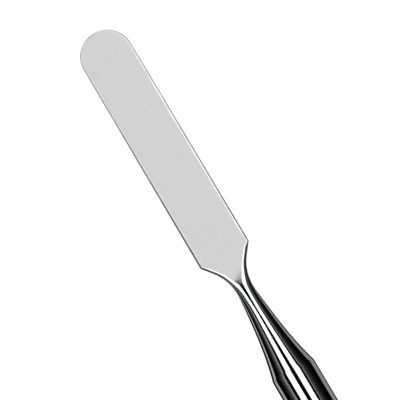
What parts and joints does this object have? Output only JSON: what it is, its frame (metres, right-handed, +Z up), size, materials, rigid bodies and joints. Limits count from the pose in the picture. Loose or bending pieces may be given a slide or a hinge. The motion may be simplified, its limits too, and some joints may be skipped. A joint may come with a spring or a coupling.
{
  "type": "palette knife",
  "caption": "Straight steel palette knife with a long round-tipped blade, a flared neck and a hollow round polished handle.",
  "frame": {"origin": "below the middle of the knife's length, on the plane that its handle lies on", "axes": "+X along the knife from the butt to the blade's tip, +Z up out of the blade's upper face, +Y across the blade"},
  "size_m": [0.2072, 0.0118, 0.01],
  "materials": {
    "ground_steel": "satin",
    "tube_steel": "polished",
    "plug_steel": "polished",
    "silver_braze": "satin"
  },
  "bodies": {
    "root": {"blade_forging": "ground_steel", "handle_tube": "tube_steel", "end_plug": "plug_steel", "front_braze_ring": "silver_braze", "rear_braze_ring": "silver_braze"}
  },
  "joints": []
}
